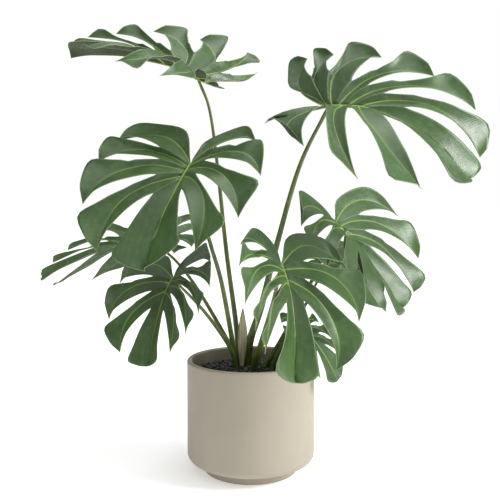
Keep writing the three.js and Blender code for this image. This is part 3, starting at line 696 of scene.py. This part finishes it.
def make_pot(material):
    """The pot's outline, from the middle of its underside over the rim to the middle of its floor, turned."""
    radius, wall, height = POT["radius"], POT["wall"], POT["height"]
    rounding, foot = POT["rounding"], POT["foot_radius"]

    def quarter(x, z, r, a0, a1, steps):
        return [(x + r * math.cos(math.radians(a0 + (a1 - a0) * i / steps)),
                 z + r * math.sin(math.radians(a0 + (a1 - a0) * i / steps))) for i in range(steps + 1)]

    profile = [(0, 0), (40, 0)]
    edge, step = POT["foot_edge"], POT["foot_step"]
    profile += quarter(foot - edge, edge, edge, -90, 0, 5)
    profile += [(foot, POT["foot_height"] - step), (foot + step, POT["foot_height"])]
    profile += quarter(radius - rounding, POT["foot_height"] + rounding, rounding, -90, 0, 12)
    profile += [(radius, z) for z in range(45, 181, 15)]
    profile += quarter(radius - wall / 2, height - wall / 2, wall / 2, 0, 180, 14)
    inner = radius - wall
    profile += [(inner, z) for z in (180, 165, 120, 60)]
    hollow = POT["inner_rounding"]
    profile += quarter(inner - hollow, POT["floor_top"] + hollow, hollow, 0, -90, 6)
    profile += [(0, POT["floor_top"])]
    sides = POT["sides"]
    vertices, faces = [], []
    for x, z in profile:
        for j in range(sides):
            angle = 2 * math.pi * j / sides
            vertices.append((x * math.cos(angle), x * math.sin(angle), z))
    for i in range(len(profile) - 1):
        for j in range(sides):
            a = i * sides + j
            b = i * sides + (j + 1) % sides
            faces.append((a, b, b + sides, a + sides))
    pot = make_object("clay_pot", vertices, faces, [material])
    welded = bmesh.new()
    welded.from_mesh(pot.data)
    bmesh.ops.remove_doubles(welded, verts=welded.verts, dist=0.00001)
    bmesh.ops.dissolve_degenerate(welded, edges=welded.edges, dist=0.00001)
    welded.to_mesh(pot.data)
    welded.free()
    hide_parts("pot")


def gravel_height(x, y):
    """Height of the mound's smooth surface: level with the edge at the wall, highest in the middle."""
    r = min(1, math.hypot(x, y) / GRAVEL["radius"])
    return GRAVEL["edge"] + (GRAVEL["crown"] - GRAVEL["edge"]) * (1 - r * r)


def make_gravel(material, bed_material):
    """Small flat stones in a lower and an upper layer, lying on a mound of grit."""
    rng = random.Random(7)
    stones = []
    for seed in range(STONES["shapes"]):
        ball = bmesh.new()
        bmesh.ops.create_icosphere(ball, subdivisions=2, radius=1)
        stretch = Vector((rng.uniform(0.85, 1.25), rng.uniform(0.7, 1.0), rng.uniform(0.4, 0.6)))
        for v in ball.verts:
            bulge = 1 + 0.28 * noise.noise(v.co * 1.1 + Vector((seed * 7, 0, 0)))
            bulge += 0.08 * noise.noise(v.co * 3 + Vector((0, seed * 5, 0)))
            v.co = Vector((v.co.x * stretch.x, v.co.y * stretch.y, v.co.z * stretch.z)) * bulge
        corners = [[v.index for v in f.verts] for f in ball.faces]
        stones.append(([v.co.copy() for v in ball.verts], corners))
        ball.free()
    feet = [leaf["stalk_foot"] for leaf in LEAVES.values()]
    placed = []
    vertices, faces, tones = [], [], []
    tries = 0
    while len(placed) < STONES["count"] and tries < STONES["tries"]:
        tries += 1
        size = rng.uniform(STONES["smallest"], STONES["largest"])
        r = math.sqrt(rng.random()) * (GRAVEL["radius"] - size)
        angle = rng.uniform(0, 2 * math.pi)
        x, y = r * math.cos(angle), r * math.sin(angle)
        layer = 0 if len(placed) < STONES["lower"] else 1
        if any(math.hypot(x - fx, y - fy) < STONES["stalk_room"] + size for fx, fy in feet):
            continue
        gap = STONES["lower_gap"] if layer == 0 else STONES["upper_gap"]
        beside = ((px, py, ps) for px, py, ps, other in placed if other == layer)
        if any((x - px) ** 2 + (y - py) ** 2 < (gap * (size + ps)) ** 2 for px, py, ps in beside):
            continue
        placed.append((x, y, size, layer))
        points, triangles = stones[rng.randrange(len(stones))]
        turn = Vector((rng.uniform(-0.5, 0.5), rng.uniform(-0.5, 0.5), rng.uniform(0, 6.28)))
        turned = Euler(turn).to_matrix()
        uneven = rng.uniform(-STONES["uneven"], STONES["uneven"])
        z = gravel_height(x, y) - STONES["sink"] + layer * STONES["layer_rise"] + uneven
        start = len(vertices)
        tone = rng.random() ** 2
        for p in points:
            q = turned @ p * size
            vertices.append((x + q.x, y + q.y, z + q.z))
            tones.append(tone)
        faces += [tuple(start + i for i in f) for f in triangles]
    pebbles = make_object("pebbles", vertices, faces, [material], {"tone": tones})
    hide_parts("gravel_topping")

    rings, sides, depth = 30, 72, 6
    vertices, faces = [(0, 0, gravel_height(0, 0) - depth)], []
    for i in range(1, rings + 1):
        for j in range(sides):
            r = GRAVEL["radius"] * i / rings
            angle = 2 * math.pi * j / sides
            x, y = r * math.cos(angle), r * math.sin(angle)
            rough = 1.4 * noise.noise(Vector((x / 5, y / 5, 3)))
            vertices.append((x, y, gravel_height(x, y) - depth + rough))
    for j in range(sides):
        faces.append((0, 1 + j, 1 + (j + 1) % sides))
        for i in range(rings - 1):
            a = 1 + i * sides + j
            b = 1 + i * sides + (j + 1) % sides
            faces.append((a, a + sides, b + sides, b))
    bed = make_object("grit_bed", vertices, faces, [bed_material])
    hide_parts("gravel_topping")


# ------------------------------------------------------------------ build
upper = leaf_material(
    "leaf_upper", dark=(0.036, 0.078, 0.022), mid=(0.056, 0.112, 0.033), pale=(0.105, 0.18, 0.065),
    vein_colour=(0.24, 0.36, 0.075), gloss=0.3)
under = leaf_material(
    "leaf_under", dark=(0.030, 0.046, 0.015), mid=(0.042, 0.062, 0.022), pale=(0.07, 0.095, 0.04),
    vein_colour=(0.13, 0.17, 0.06), gloss=0.55, underside=True)
rim = leaf_material(
    "leaf_rim", dark=(0.09, 0.13, 0.05), mid=(0.12, 0.17, 0.07), pale=(0.16, 0.22, 0.10),
    vein_colour=(0.2, 0.28, 0.1), gloss=0.45)
rib = rib_material("leaf_rib", (0.235, 0.35, 0.065), (0.09, 0.16, 0.048))
stem = stalk_material()
for leaf_name, leaf in LEAVES.items():
    make_leaf(leaf_name, leaf, [upper, under, rim], rib)
    make_stalk(leaf_name, leaf, stem)
make_sheath(sheath_material())
make_pot(pot_material())
make_gravel(pebble_material(), soil_material())
soil_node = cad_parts["potting_soil"]
soil_node.data.materials.clear()
soil_node.data.materials.append(soil_material())

# ------------------------------------------------------------------ floor, light and camera
floor_nodes = Nodes("floor_white")
clouds = floor_nodes.remap(floor_nodes.noise(0.6, 2), 0.3, 0.7)
tone = floor_nodes.mix(clouds, (0.92, 0.92, 0.92), (0.94, 0.94, 0.94))
floor_material = floor_nodes.finish(tone, 0.9, Emission_Color=(1, 1, 1, 1), Emission_Strength=0.36)
floor_mesh = bpy.data.meshes.new("floor")
floor_mesh.from_pydata([(-40, -8, 0), (40, -8, 0), (40, 70, 0), (-40, 70, 0)], [], [(0, 1, 2, 3)])
floor_mesh.materials.append(floor_material)
floor = bpy.data.objects.new("floor", floor_mesh)
bpy.context.scene.collection.objects.link(floor)
floor.location.z = -0.0005

world = bpy.data.worlds.new("studio")
world.use_nodes = True
backdrop = world.node_tree.nodes["Background"]
backdrop.inputs["Color"].default_value = (1, 1, 1, 1)
path = world.node_tree.nodes.new("ShaderNodeLightPath")
level = world.node_tree.nodes.new("ShaderNodeMapRange")
level.inputs["To Min"].default_value = 0.3
level.inputs["To Max"].default_value = 1.0
world.node_tree.links.new(path.outputs["Is Camera Ray"], level.inputs["Value"])
world.node_tree.links.new(level.outputs["Result"], backdrop.inputs["Strength"])
bpy.context.scene.world = world
bpy.context.scene.view_settings.view_transform = "Standard"


def add_light(name, place, target, size, power):
    light = bpy.data.lights.new(name, "AREA")
    light.shape = "DISK"
    light.size = size
    light.energy = power
    lamp = bpy.data.objects.new(name, light)
    lamp.location = place
    lamp.rotation_euler = (Vector(target) - Vector(place)).to_track_quat("-Z", "Y").to_euler()
    bpy.context.scene.collection.objects.link(lamp)


add_light("key", (2.2, -0.5, 1.3), (0, 0, 0.4), 0.9, 54)
add_light("front", (-0.5, -2.3, 1.5), (0, 0, 0.4), 0.7, 3)
add_light("top", (0.5, 0.3, 2.6), (0, 0, 0.5), 1.4, 10)
sky = bpy.data.lights.new("overhead", "SUN")
sky.energy = 2.1
sky.angle = math.radians(75)
overhead = bpy.data.objects.new("overhead", sky)
overhead.rotation_euler = (math.radians(10), math.radians(6), 0)
bpy.context.scene.collection.objects.link(overhead)

# the place and tilt were found by a fitting script from the pot's rim, sides and foot in the photo
CAMERA_PLACE = (-0.0013, -1.1896, 0.4547)
CAMERA_DIP = 3.568  # degrees below level
camera_data = bpy.data.cameras.new("camera")
camera_data.lens = 50
camera_data.sensor_width = 36
camera = bpy.data.objects.new("camera", camera_data)
camera.location = CAMERA_PLACE
camera.rotation_euler = (math.radians(90 - CAMERA_DIP), 0, 0)
bpy.context.scene.collection.objects.link(camera)
bpy.context.scene.camera = camera
